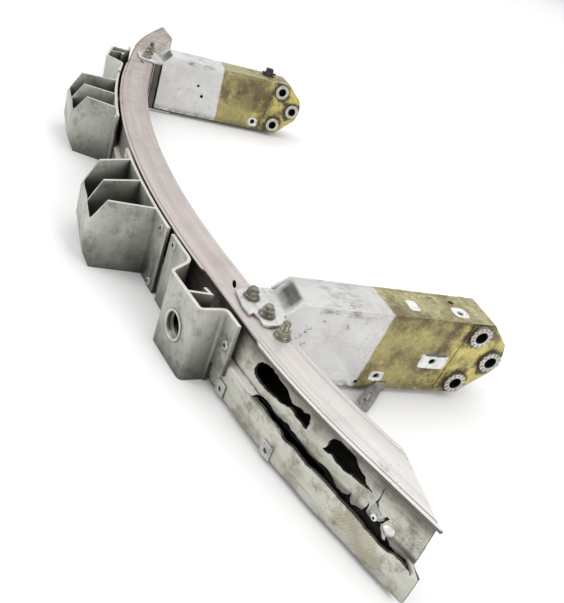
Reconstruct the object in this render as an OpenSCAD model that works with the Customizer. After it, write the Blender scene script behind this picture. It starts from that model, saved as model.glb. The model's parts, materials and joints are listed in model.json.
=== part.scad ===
// Curved aluminium crash beam with two box rails and four extruded brackets.
// Millimetres. +Z up, +X towards the car's left, +Y rearwards.
// The origin is under the middle of the whole part, on the plane it stands on.

/* [Beam] */
// Height of the beam section
beam_h = 78; // [60:1:110]
// Depth of the beam section, front lip to rear wall
beam_d = 42; // [34:1:70]
// Wall of the beam section
beam_wall = 3; // [2:0.5:5]
// Half of the overall length, to a front tip
half_len = 631; // [560:1:800]
// Radius of the middle arc, at the section's middle
mid_r = 1330; // [1000:10:2400]
// Half angle of the middle arc
mid_a = 13.1; // [9:0.1:16]
// Straight length of each rail seat
seat_len = 95; // [80:1:200]
// Radius of each end bend
bend_r = 740; // [400:10:1200]
// Angle of each end bend
bend_a = 12.8; // [6:0.1:20]
// How far the slanted end cut runs back
end_cut = 70; // [20:1:110]
// Height of the step line on the front face
step_z = 35; // [24:1:50]
// How far the lower panel stands in front of the lip
step_out = 4; // [2:0.5:8]
// How far the upper panel sits behind the lip
lip_over = 2.5; // [1:0.5:5]
// Clearance of the beam's underside from the ground
beam_lift = 4; // [3:0.5:10]

/* [Beam openings] */
// Length of each front slot
slot_len = 52; // [30:1:70]
// Height of each front slot
slot_h = 19; // [10:1:24]
// Path position of the inner front slot
slot_s1 = 458; // [440:1:480]
// Path position of the outer front slot
slot_s2 = 558; // [545:1:580]
// Widest opening of the crash tear
tear_w = 9; // [3:0.5:14]
// Bore of the small square nut plates
plate_bore = 6; // [4:0.5:8]

/* [Rails] */
// Outer side of each rail, from the middle
rail_x = 393; // [385:1:396]
// Width of a rail
rail_w = 50; // [44:1:60]
// Height of a rail
rail_h = 93.6; // [84:0.1:110]
// Wall of a rail
rail_wall = 2.5; // [2:0.5:4]
// How far the rail stands above the beam
rail_rise = 18.4; // [12:0.1:26]
// Front edge of the rail's sides
rail_y0 = 100; // [98:1:110]
// Rear end of the rail's top
rail_y1 = 339; // [300:1:380]
// How far the sides reach behind the top
rail_nose = 32; // [20:1:50]
// Thickness of the raised pad round the sleeves
pad_t = 1.2; // [0.5:0.1:3]

/* [Sleeves and fixings] */
// Bore of a mounting sleeve
sleeve_bore = 13; // [10.5:0.5:14.5]
// Outside of a mounting sleeve
sleeve_od = 26; // [21:1:28]
// How far a sleeve stands out of each side
sleeve_out = 3.2; // [2.5:0.1:6]
// Sleeve rows behind the rail's front edge
sleeve_dy = 226; // [200:1:226]
// Rear sleeve behind the front pair
sleeve_back = 30; // [27:1:34]
// Height between the front pair
sleeve_dz = 63; // [56:1:63]
// Stud diameter
stud_d = 8; // [6:1:10]
// Thickness of the clamp flanges
flange_t = 3; // [2:0.5:4]
// Flange nut across its round flange
nut_od = 17; // [15:0.5:20]
// Rivet head diameter
rivet_d = 10; // [7:0.5:12]

/* [Brackets] */
// Height of the extruded brackets
brk_h = 83; // [70:1:96]
// Wall of the extruded brackets
brk_wall = 3.5; // [2.5:0.5:5]
// Depth of a centre bracket in front of the beam
brk_depth = 60; // [40:1:80]
// Radius of the round hole in an outer bracket
hole_r = 13; // [8:0.5:15]
// Length of the outer bracket's near flange, top down
short_flange = 58; // [40:1:70]

/* [Hidden] */
$fn = 48;
gap = 0.2;            // between pieces that sit on each other
d2 = beam_d / 2;
f_lip = -d2;
f_up = -d2 + lip_over;
f_low = -d2 - step_out;
c0 = 18;              // middle of the section behind the front apex
mid_s = mid_r * mid_a * PI / 180;
seat_s = mid_s + seat_len;
end_a = mid_a + bend_a;
bend_s = seat_s + bend_r * bend_a * PI / 180;
p1 = [mid_r * sin(mid_a), c0 + mid_r * (1 - cos(mid_a))];
p2 = p1 + seat_len * [cos(mid_a), sin(mid_a)];
c2 = p2 + bend_r * [-sin(mid_a), cos(mid_a)];
p3 = c2 + bend_r * [sin(end_a), -cos(end_a)];
tip_l = (half_len - p3.x - d2 * sin(end_a)) / cos(end_a);
z_top = beam_lift + beam_h;
rz1 = z_top + rail_rise;
rz0 = rz1 - rail_h;
rxi = rail_x - rail_w;
nose_y = rail_y1 + rail_nose;
low_t = beam_lift;
sl_y = rail_y0 + sleeve_dy;
sl_z = (rz0 + rz1) / 2 + 0.6;
front_y = -brk_depth - 4;
mid_y = (front_y + nose_y) / 2;
stud_r = stud_d / 2;
hole_gap = 0.2;

// the middle line of the beam in plan, by its length s from the centre
function path_a(s) = s < 0 ? -path_a(-s) : s < mid_s ? s / mid_r * 180 / PI
  : s < seat_s ? mid_a : s < bend_s ? mid_a + (s - seat_s) / bend_r * 180 / PI : end_a;
function path_p(s) = s < 0 ? let (p = path_p(-s)) [-p.x, p.y] : let (a = path_a(s))
  s < mid_s ? [mid_r * sin(a), c0 + mid_r * (1 - cos(a))]
  : s < seat_s ? p1 + (s - mid_s) * [cos(a), sin(a)]
  : s < bend_s ? c2 + bend_r * [sin(a), -cos(a)] : p3 + (s - bend_s) * [cos(a), sin(a)];
// a point beside the path, u to the rear
function pp(s, u) = path_p(s) + u * [-sin(path_a(s)), cos(path_a(s))];
step_s = 26;
function steps(a, b) = let (n = max(1, ceil((b - a) / step_s))) [for (k = [0:n]) a + (b - a) * k / n];
// outline in plan between two offsets from the path
function band(s0, s1, u0, u1, t0, t1) = concat([for (s = steps(s0, s1)) pp(s, u0)],
  [for (s = steps(-t1, -t0)) pp(-s, u1)]);
function unit(a, b) = (b - a) / norm(b - a);
function left_of(d) = [-d.y, d.x];
function mitre(q, i) = let (n = len(q)) i == 0 ? left_of(unit(q[0], q[1]))
  : i == n - 1 ? left_of(unit(q[n - 2], q[n - 1]))
  : let (a = left_of(unit(q[i - 1], q[i])), b = left_of(unit(q[i], q[i + 1])),
         m = (a + b) / norm(a + b)) m / (m * a);
// a sheet of thickness t that follows the points q
function ribbon(q, t) = concat([for (i = [0:len(q) - 1]) q[i] + mitre(q, i) * t / 2],
  [for (i = [len(q) - 1:-1:0]) q[i] - mitre(q, i) * t / 2]);
// a rounded corner at b
function soft(a, b, c, r) = let (p = b + r * unit(b, a), q = b + r * unit(b, c))
  [for (k = [0:4]) let (t = k / 4) (1 - t) * (1 - t) * p + 2 * t * (1 - t) * b + t * t * q];
// children stand on the path: local X runs along it, local Y rearwards
module on_path(s, u = 0) {
  translate([pp(s, u).x, pp(s, u).y, 0]) rotate([0, 0, path_a(s)]) children();
}
module both() { children(); mirror([1, 0, 0]) children(); }
// a profile in the Y-Z plane, drawn out along X from x0 to x1
module along_x(x0, x1, pts) {
  translate([x0, 0, 0]) rotate([90, 0, 90]) linear_extrude(x1 - x0) polygon(pts);
}
// an outline in X-Z, cut through along Y from y0 to y1
module along_y(y0, y1, pts) {
  translate([0, y1, 0]) rotate([90, 0, 0]) linear_extrude(y1 - y0) polygon(pts);
}
module slab(z0, z1, pts) { translate([0, 0, z0]) linear_extrude(z1 - z0) polygon(pts); }

// ---- beam -------------------------------------------------------------
// the slanted cut: where the beam ends at offset u
function end_s(u) = bend_s + tip_l - end_cut * (u + d2) / beam_d;
module beam_band(z0, z1, u0, u1, more = 0) {
  slab(z0, z1, band(-end_s(u0) - more, end_s(u0) + more, u0, u1, -end_s(u1) - more, end_s(u1) + more));
}
module beam_solid() {
  t = beam_wall; h = beam_h;
  difference() {
    beam_band(0, h, f_low, d2);
    // upper panel, set back under the lip
    beam_band(step_z, h - 4, f_low - 5, f_up, 8);
    beam_band(h - 4.5, h + 1, f_low - 5, f_lip, 8);
    // upper and lower cells
    beam_band(step_z + 2, h - t, f_up + t, d2 - t, 8);
    beam_band(t, step_z - t, f_low + t, d2 - t, 8);
  }
}
module stadium(l, h, d) {
  rotate([90, 0, 0]) translate([0, 0, -d / 2]) {
    translate([-(l - h) / 2, 0, 0]) cylinder(d = h, h = d);
    translate([(l - h) / 2, 0, 0]) cylinder(d = h, h = d);
    translate([-(l - h) / 2, -h / 2, 0]) cube([l - h, h, d]);
  }
}
slot_z = beam_h - 21;
cut_u = f_low - 1;    // cuts start just in front of the lower panel
module front_slots() {
  for (s = [slot_s1, slot_s2])
    on_path(s, f_up + 1) translate([0, 0, slot_z]) stadium(slot_len, slot_h, 16);
}
// torn end of the inner slot, and the long tear under the step line
module crash_tear() {
  w = tear_w;
  on_path(500, 0) along_y(f_up - 4, f_up + beam_wall + 3, [[-18, slot_z - 4], [-12, slot_z + 6],
    [-2, slot_z + 3], [6, slot_z + 5], [15, slot_z + 1], [17, slot_z - 8], [9, slot_z - 5],
    [2, slot_z - 9], [-7, slot_z - 7], [-14, slot_z - 9]]);
  on_path(478, 0) along_y(cut_u - 4, f_up + 1.3, [[-26, step_z + 0.9], [-14, step_z + 1.3],
    [-4, step_z + 0.7], [8, step_z + 1.2], [20, step_z - 1], [32, step_z + 0.8],
    [32, step_z - w * 0.7], [22, step_z - w], [12, step_z - w * 1.3], [4, step_z - w * 0.8],
    [-6, step_z - w * 0.5], [-18, step_z - 2]]);
  on_path(546, 0) along_y(cut_u - 4, f_up + 1.3, [[-40, step_z + 1.1], [-26, step_z - 1],
    [-10, step_z + 1], [6, step_z - 1], [22, step_z + 0.9], [22, step_z - w * 0.6],
    [10, step_z - w], [-4, step_z - w * 0.7], [-20, step_z - w * 0.9], [-40, step_z - w * 0.7]]);
  on_path(bend_s, 0) along_y(cut_u - 1, f_up + 1.3, [[-1, step_z + 0.7], [18, step_z + 1.4],
    [30, step_z + 1], [48, step_z - 0.5], [72, step_z - 5], [56, step_z - w * 0.8],
    [38, step_z - w * 1.4], [22, step_z - w * 1.5], [8, step_z - w], [-1, step_z - w * 0.75]]);
}
nuts_x = [[364, 73.5], [391.5, 81.4], [418.7, 89.6]];
plate_s = [411.6, 490.2];
module beam() {
  color([0.72, 0.71, 0.69]) difference() {
    translate([0, 0, beam_lift]) difference() {
      beam_solid();
      both() front_slots();
      crash_tear();
      both() for (s = plate_s) on_path(s, f_low + 2) translate([0, 0, 7])
        rotate([90, 0, 0]) cylinder(d = plate_bore, h = 10, center = true);
      // small oval opening beside each clamp flange
      both() translate([335.6, 64.2, beam_h - 6]) rotate([0, 0, -14]) {
        cylinder(d = 5, h = 8);
        translate([0, -2.5, 0]) cube([8, 5, 8]);
        translate([8, 0, 0]) cylinder(d = 5, h = 8);
      }
    }
    both() for (p = nuts_x) translate([p.x, p.y, z_top - beam_wall - 1])
      cylinder(r = stud_r + hole_gap, h = beam_wall + 2);
  }
}

// ---- rails (drawn for the left side) ------------------------------------
function side_pts(z0, z1) = [[rail_y0, z0], [rail_y0, z1 - 14], [rail_y0 + 15, z1],
  [rail_y1, z1], [nose_y - 5, z1 - 24], [nose_y, z1 - 37], [nose_y, z1 - 50],
  [nose_y - 4, z1 - 63], [rail_y1 - 3, z0]];
module sleeve_spots() {
  for (p = [[0, sleeve_dz / 2], [sleeve_back, 0], [0, -sleeve_dz / 2]])
    translate([0, sl_y + p.x, sl_z + p.y]) rotate([0, 90, 0]) children();
}
module pad_pts(x0, x1) {
  along_x(x0, x1, [[rail_y1 - 36, rz0 + 4], [rail_y1 - 27, rz1 - 3], [rail_y1 - 2, rz1 - 3],
    [nose_y - 7, rz1 - 25], [nose_y - 2, rz1 - 38], [nose_y - 2, rz1 - 50],
    [nose_y - 6, rz1 - 62], [rail_y1 - 4, rz0 + 4]]);
}
module rail_outer() {
  t = rail_wall;
  difference() {
    union() {
      along_x(rail_x - t, rail_x, side_pts(rz0, rz1));
      pad_pts(rail_x, rail_x + pad_t);
      translate([rxi + t + gap, rail_y0 + 17, rz1 - t])
        cube([rail_w - 2 * t - gap + 0.5, rail_y1 - rail_y0 - 17, t]);
      translate([rxi + t + gap, rail_y0, rz0])
        cube([rail_w - 2 * t - gap + 0.5, rail_y1 - rail_y0 - 3, t]);
    }
    sleeve_spots() cylinder(r = sleeve_od / 2 + hole_gap, h = 2 * rail_x + 200, center = true);
    // locating and access holes
    translate([rail_x - 36, 301, rz1 - t - 1]) cylinder(d = 7, h = t + 2);
    translate([rail_x - 17, 302.4, rz1 - t - 1]) cylinder(d = 8, h = t + 2);
    for (p = [[205.2, -68.8, 5], [226.3, -59.5, 7], [285, -35.5, 8]])
      translate([rail_x - t - 1, p.x, z_top + p.y]) rotate([0, 90, 0])
        cylinder(d = p.z, h = t + 2);
  }
}
module rail_inner() {
  t = rail_wall;
  difference() {
    union() {
      along_x(rxi, rxi + t, side_pts(rz0, rz1));
      pad_pts(rxi - pad_t, rxi);
    }
    sleeve_spots() cylinder(r = sleeve_od / 2 + hole_gap, h = 2 * rail_x + 200, center = true);
    for (p = [[169.6, -19.8, 5], [179.9, -37, 6], [286.7, -62, 9]])
      translate([rxi - 1, p.x, z_top + p.y]) rotate([0, 90, 0]) cylinder(d = p.z, h = t + 2);
  }
}
module sleeves() {
  l0 = rxi - pad_t - sleeve_out; l1 = rail_x + pad_t + sleeve_out;
  sleeve_spots() difference() {
    translate([0, 0, l0]) cylinder(d = sleeve_od, h = l1 - l0);
    translate([0, 0, l0 - 1]) cylinder(d = sleeve_bore, h = l1 - l0 + 2);
    for (k = [0:11], z = [l0 - 1, l1 - 1]) rotate([0, 0, k * 30])
      translate([sleeve_bore / 2 + 2.4, -1.1, z]) cube([8, 2.2, 2]);
  }
}
// stands behind the beam's seat, between the two clamp flanges
module front_plate() {
  q = pp(seat_s - 42, d2 + 3.5);
  slab(low_t + gap, z_top - gap, ribbon([[q.x, rail_y0 - 2.5], q, pp(seat_s + 1, d2 + 3.5)], 2.5));
}
fx0 = rxi + rail_wall + gap; fx1 = rail_x - rail_wall - gap;
module top_flange() {
  t = flange_t; z = z_top + gap;
  difference() {
    union() {
      translate([0, 0, z]) linear_extrude(t) polygon([[354.5, 60.5], [380, 60.5], [393, 64], [389.5, 69],
        [397, 73], [407, 74], [408.5, 80], [407, 87], [403, 93.5],
        [396, rail_y0 - 1], [fx1, rail_y0 - 0.6], [fx1, rail_y0 + 2.6], [fx0, rail_y0 + 2.6], [345.5, 75]]);
      along_x(fx0, fx1, [[rail_y0 + 2.5, z], [rail_y0 + 17 - gap, rz1 - t - 1],
        [rail_y0 + 17 - gap, rz1], [rail_y0 + 14.6, rz1], [rail_y0 + 2.5, z + t]]);
    }
    for (p = nuts_x) translate([p.x, p.y, z - 1])
      cylinder(r = stud_r + hole_gap, h = t + 3);
  }
}
module low_flange() {
  linear_extrude(low_t - gap) polygon([[354.5, 62], [395, 68], [402, 78], [400, 94],
    [fx1, rail_y0 + 30], [fx0, rail_y0 + 30], [345.5, 76]]);
  translate([fx0 + 4, rail_y0 + 4, low_t - gap - 0.1])
    cube([fx1 - fx0 - 8, 24, rz0 - low_t + 0.1]);
}
stud_top = [15, 15, 17];
module studs() {
  for (k = [0:2]) translate([nuts_x[k].x, nuts_x[k].y, 0]) {
    translate([0, 0, z_top - beam_wall - gap - 3]) cylinder(r = stud_r, h = beam_wall + gap + 3 + stud_top[k]);
    translate([0, 0, z_top - beam_wall - gap - 3]) cylinder(d = stud_d + 5, h = 3);
  }
}
module nut_shape() {
  difference() {
    union() {
      cylinder(d = nut_od, h = 1.8);
      translate([0, 0, 1.7]) cylinder(d1 = nut_od - 1.5, d2 = nut_od - 4, h = 1.2);
      translate([0, 0, 1.8]) cylinder(d = (nut_od - 4) / cos(30), h = 6.2, $fn = 6);
    }
    translate([0, 0, -1]) cylinder(r = stud_r + 0.15, h = 12);
  }
}
module nuts() {
  for (k = [0:2]) translate([nuts_x[k].x, nuts_x[k].y,
    z_top + (k < 2 ? flange_t + 2 * gap : gap)]) nut_shape();
}

// ---- brackets (drawn for the left side) ---------------------------------
brk_u = f_low - gap;  // rear face of a bracket, in front of the lower panel
brk_m = brk_u - brk_wall / 2;
far_root = [85, -6];
mid_root = [141, -2.5];
near_root = [205.5, 6];
far_front = [111, front_y + 2];
mid_front = [161, front_y + 2];
near_front = [204, front_y + 2];
module centre_bracket() {
  t = brk_wall;
  difference() {
    union() {
      slab(0, brk_h, band(52, 243, brk_u - t, brk_u, 52, 243));
      slab(0, brk_h, ribbon(concat([far_root], soft(far_root, far_front, near_front, 5),
        soft(far_front, near_front, near_root, 5), [near_root]), t));
      slab(0, brk_h, ribbon([mid_root, mid_front], t));
    }
    // slanted cuts at the front's top and bottom edges
    along_x(0, 300, [[front_y - 2, brk_h - 35], [-45, brk_h + 1], [front_y - 2, brk_h + 1]]);
    along_x(0, 300, [[front_y - 2, 24], [-53, -1], [front_y - 2, -1]]);
  }
}
s_near = 384;
module outer_bracket() {
  t = brk_wall;
  b = [329, 3]; c = [389, 18.6]; d = pp(s_near, brk_m); e = pp(s_near + 26, brk_m);
  f = pp(303, brk_m);
  difference() {
    union() {
      slab(0, brk_h, ribbon(concat([for (s = steps(254.5, 286)) pp(s, brk_m)],
        soft(pp(286, brk_m), f, b, 9), soft(f, b, c, 4), soft(b, c, d, 4), soft(c, d, e, 5), [e]), t));
      slab(0, brk_h, ribbon([[361.5, 11.4], [363, 34.5], [353, 30.4]], t - 0.4));
    }
    // the near flange is shorter than the rest
    slab(-1, brk_h - short_flange, [pp(s_near + 3, brk_u + 3), pp(s_near + 3, brk_u - 12),
      pp(s_near + 40, brk_u - 12), pp(s_near + 40, brk_u + 3)]);
    translate([358, 10.54, brk_h - 42]) rotate([90, 0, 14.574]) {
      cylinder(r = hole_r, h = 12, center = true);
      // the hook is cut away wider behind the hole
      translate([0, 0, -25]) cylinder(r = hole_r + 3, h = 25 - t / 2 - 0.05);
    }
  }
}
rivs_a = [[266.5, brk_h - 6], [402, brk_h - 27]];
rivs_b = [[230, brk_h - 8], [230, 8], [64, brk_h - 8], [64, 8]];
module rivet(s, z, t) {
  on_path(s, f_low) translate([0, 0, z]) rotate([90, 0, 0]) {
    translate([0, 0, -1]) cylinder(d = rivet_d - 5, h = t + gap + 1.5);
    translate([0, 0, t + 2 * gap]) cylinder(d1 = rivet_d, d2 = rivet_d - 3.5, h = 1.8);
  }
}
module bracket_rivets() {
  for (p = rivs_a) rivet(p.x, p.y, brk_wall);
  for (p = rivs_b) rivet(p.x, p.y, brk_wall);
}
module drill(s, z) {
  on_path(s, f_low) translate([0, 0, z]) rotate([90, 0, 0])
    cylinder(d = rivet_d - 5 + 2 * hole_gap, h = 24, center = true);
}
module drills() {
  for (p = rivs_a) drill(p.x, p.y);
  for (p = rivs_b) drill(p.x, p.y);
}

// ---- small parts ----------------------------------------------------------
module nut_plates() {
  for (s = plate_s) on_path(s, f_low - gap) translate([0, 0, beam_lift + 7]) difference() {
    translate([-7, -1.6, -6.5]) cube([14, 1.6, 15]);
    rotate([90, 0, 0]) cylinder(d = plate_bore - 1, h = 8, center = true);
  }
}
tab_t = 2.5;
tab_rise = 9.4;
tab_tilt = 15;
module left_tab() {
  x0 = rail_x + gap;
  low = rz0 - gap - tab_t;
  translate([x0 - 21, 228, low]) cube([21 + tab_t, 14, tab_t]);
  translate([x0, 228, low]) cube([tab_t, 14, tab_t + tab_rise]);
  translate([x0 + tab_t * sin(tab_tilt), 0, low + tab_t + tab_rise]) rotate([0, tab_tilt, 0]) difference() {
    translate([0, 0, -tab_t]) linear_extrude(tab_t) polygon([[0, 241], [8, 235], [15, 228.5], [24, 221],
      [32, 213], [37.5, 207], [37, 204.5], [33, 203], [27, 201], [23, 199.5], [17, 206], [9, 215.5],
      [4, 224], [0, 229]]);
    for (p = [[14, 218], [22, 208]]) translate([p.x, p.y, -tab_t - 1])
      rotate([0, 0, -42]) cube([13, 1.8, tab_t + 2]);
  }
}
module plastic_clip() {
  translate([-rail_x + 18, 303, rz1 + gap]) {
    translate([-8, -9, 0]) cube([16, 18, 2]);
    translate([-5, -6, 2]) cube([10, 12, 11]);
    translate([-2.5, -13, 3]) cube([5, 26, 3]);
  }
}
module torn_strap() {
  on_path(598, f_up - gap) translate([0, 0, beam_lift + 43]) difference() {
    along_y(-2.2, 0, [[-9, -6], [-7, 11], [2, 14], [6, 2], [10, -6], [2, -10]]);
    translate([1, 0, -3]) rotate([90, 0, 0]) cylinder(d = 5.4, h = 8, center = true);
  }
}
module strap_rivet() {
  on_path(599, f_up - gap) translate([0, 0, beam_lift + 40]) rotate([90, 0, 0]) {
    translate([0, 0, -beam_wall]) cylinder(d = 5, h = beam_wall + 2.6);
    translate([0, 0, 2.3]) cylinder(d1 = 8, d2 = 5, h = 1.6);
  }
}
module beam_drilled() {
  difference() {
    beam();
    both() drills();
    on_path(599, f_up) translate([0, 0, beam_lift + 40]) rotate([90, 0, 0])
      cylinder(d = 5.4, h = 14, center = true);
  }
}
module alu(c = 0.62) { color([c, c, c * 0.97]) children(); }
module place() { translate([0, -mid_y, 0]) children(); }
module left() { place() children(); }
module right() { place() mirror([1, 0, 0]) children(); }

module bumper_beam() { place() beam_drilled(); }
module left_rail_outer() { left() color([0.85, 0.8, 0.6]) rail_outer(); }
module left_rail_inner() { left() color([0.85, 0.8, 0.6]) rail_inner(); }
module left_rail_front_plate() { left() alu(0.7) front_plate(); }
module left_rail_sleeves() { left() alu(0.5) sleeves(); }
module left_top_flange() { left() alu(0.75) top_flange(); }
module left_low_flange() { left() alu(0.7) low_flange(); }
module left_studs() { left() alu(0.5) studs(); }
module left_nuts() { left() alu(0.5) nuts(); }
module left_centre_bracket() { left() alu() difference() { centre_bracket(); drills(); } }
module left_outer_bracket() { left() alu() difference() { outer_bracket(); drills(); } }
module left_bracket_rivets() { left() alu(0.7) bracket_rivets(); }
module left_nut_plates() { left() alu(0.6) nut_plates(); }
module right_rail_outer() { right() color([0.85, 0.8, 0.6]) rail_outer(); }
module right_rail_inner() { right() color([0.85, 0.8, 0.6]) rail_inner(); }
module right_rail_front_plate() { right() alu(0.7) front_plate(); }
module right_rail_sleeves() { right() alu(0.5) sleeves(); }
module right_top_flange() { right() alu(0.75) top_flange(); }
module right_low_flange() { right() alu(0.7) low_flange(); }
module right_studs() { right() alu(0.5) studs(); }
module right_nuts() { right() alu(0.5) nuts(); }
module right_centre_bracket() { right() alu() difference() { centre_bracket(); drills(); } }
module right_outer_bracket() { right() alu() difference() { outer_bracket(); drills(); } }
module right_bracket_rivets() { right() alu(0.7) bracket_rivets(); }
module right_nut_plates() { right() alu(0.6) nut_plates(); }
module slotted_tab() { place() alu(0.4) left_tab(); }
module clip() { place() color([0.08, 0.08, 0.08]) plastic_clip(); }
module strap() { place() alu(0.7) torn_strap(); }
module s_rivet() { place() alu(0.8) strap_rivet(); }

bumper_beam();
left_rail_outer();
left_rail_inner();
left_rail_front_plate();
left_rail_sleeves();
left_top_flange();
left_low_flange();
left_studs();
left_nuts();
left_centre_bracket();
left_outer_bracket();
left_bracket_rivets();
left_nut_plates();
right_rail_outer();
right_rail_inner();
right_rail_front_plate();
right_rail_sleeves();
right_top_flange();
right_low_flange();
right_studs();
right_nuts();
right_centre_bracket();
right_outer_bracket();
right_bracket_rivets();
right_nut_plates();
slotted_tab();
clip();  // plastic_clip
strap();  // torn_strap
s_rivet();  // strap_rivet
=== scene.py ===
"""A used aluminium bumper beam with its two crash rails and four front brackets.

Sizes are in millimetres in the beam's own layout, and mesh code turns them into metres.
A place on the beam is (s, u, z): s runs along its bent middle line from the centre, u is the
distance behind that line, and z is the height above the floor.
"""
import json
import math
import random
from contextlib import contextmanager

import bmesh
import bpy
from mathutils import Matrix, Vector, geometry, noise


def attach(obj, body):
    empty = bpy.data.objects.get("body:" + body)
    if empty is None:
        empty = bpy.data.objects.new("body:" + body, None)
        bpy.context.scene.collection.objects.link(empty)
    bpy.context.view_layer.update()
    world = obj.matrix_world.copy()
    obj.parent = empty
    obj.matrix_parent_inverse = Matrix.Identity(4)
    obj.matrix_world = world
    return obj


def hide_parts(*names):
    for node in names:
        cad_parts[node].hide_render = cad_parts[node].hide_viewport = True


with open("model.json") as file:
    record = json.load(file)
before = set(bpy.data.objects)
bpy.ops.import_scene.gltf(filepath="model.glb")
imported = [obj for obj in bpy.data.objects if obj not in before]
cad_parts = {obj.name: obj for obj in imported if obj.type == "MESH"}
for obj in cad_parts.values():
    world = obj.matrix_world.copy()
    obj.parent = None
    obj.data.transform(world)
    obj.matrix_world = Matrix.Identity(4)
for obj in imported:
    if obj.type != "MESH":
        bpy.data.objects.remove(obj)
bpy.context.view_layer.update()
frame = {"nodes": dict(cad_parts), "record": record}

MM = 0.001
ROW_Y = -153.5            # the beam's layout starts this far in front of the row's middle

# ---- middle line of the beam
MID_R, MID_A = 1330.0, math.radians(13.1)        # the wide arc in the middle
SEAT_LEN = 95.0                                  # the straight seat of a rail
BEND_R, BEND_A = 740.0, math.radians(12.8)       # the tighter arc beyond the seat
APEX = 18.0                                      # the line's start behind the layout's zero
MID_S = MID_R * MID_A
SEAT_S = MID_S + SEAT_LEN
BEND_S = SEAT_S + BEND_R * BEND_A
END_A = MID_A + BEND_A
HALF_LEN = 631.0          # from the centre to a tip
HALF_D = 21.0             # half the beam's depth
END_CUT = 70.0            # how much sooner the back of an end stops than its front
FLOOR_GAP = 4.0
BEAM_H = 78.0
TOP = FLOOR_GAP + BEAM_H


def path_angle(s):
    if s < 0:
        return -path_angle(-s)
    return min(s, MID_S) / MID_R + min(max(s - SEAT_S, 0), BEND_R * BEND_A) / BEND_R


def on_path(s, u=0.0):
    """Plan place (x, y) of a point u behind the middle line at length s."""
    if s < 0:
        x, y = on_path(-s, u)
        return -x, y
    t1 = min(s, MID_S) / MID_R
    flat = min(max(s - MID_S, 0), SEAT_LEN)
    t2 = MID_A + min(max(s - SEAT_S, 0), BEND_R * BEND_A) / BEND_R
    tail = max(s - BEND_S, 0)
    x = (MID_R * math.sin(t1) + flat * math.cos(MID_A) + BEND_R * (math.sin(t2) - math.sin(MID_A))
         + tail * math.cos(END_A))
    y = (APEX + MID_R * (1 - math.cos(t1)) + flat * math.sin(MID_A)
         + BEND_R * (math.cos(MID_A) - math.cos(t2)) + tail * math.sin(END_A))
    a = path_angle(s)
    return x - u * math.sin(a), y + u * math.cos(a)


TIP_S = BEND_S + (HALF_LEN - on_path(BEND_S)[0] - HALF_D * math.sin(END_A)) / math.cos(END_A)


def row(x, y, z):
    return Vector((x * MM, (y + ROW_Y) * MM, z * MM))


# ---- node helpers
class Tree:
    """A small writer for node trees of either kind."""

    def __init__(self, tree):
        self.tree = tree
        self.nodes = tree.nodes
        self.nodes.clear()

    def add(self, kind, inputs=None, **props):
        """A new node; one whose kind has no prefix is a shader node."""
        n = self.nodes.new(kind if kind.startswith(("Geo", "Fun")) else "ShaderNode" + kind)
        for k, v in props.items():
            setattr(n, k, v)
        for k, v in (inputs or {}).items():
            self.put(n.inputs[k], v)
        return n

    def out(self, kind, inputs=None, **props):
        return self.add(kind, inputs, **props).outputs[0]

    def put(self, socket, v):
        if isinstance(v, bpy.types.NodeSocket):
            self.tree.links.new(v, socket)
        elif v is not None:
            socket.default_value = v

    def calc(self, op, a, b=None, c=None, clamp=False):
        n = self.add("Math", operation=op, use_clamp=clamp)
        for i, v in enumerate((a, b, c)):
            if v is not None:
                self.put(n.inputs[i], v)
        return n.outputs[0]

    def axes(self, vec=None):
        """The x, y and z of vec, or of the tree's own place."""
        return self.add("SeparateXYZ", {0: vec or self.place}).outputs

    def chain(self, op, values):
        """One value out of many, taken two at a time from the first."""
        total = values[0]
        for v in values[1:]:
            total = self.calc(op, total, v)
        return total

    def times(self, *values):
        return self.chain("MULTIPLY", values)

    def plus(self, *values):
        return self.chain("ADD", values)

    def most(self, *values):
        return self.chain("MAXIMUM", values)

    def minus(self, a, b, clamp=False):
        return self.calc("SUBTRACT", a, b, clamp=clamp)

    def off(self, value, middle):
        """How far value is from middle, to either side."""
        return self.calc("ABSOLUTE", self.minus(value, middle))


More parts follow.
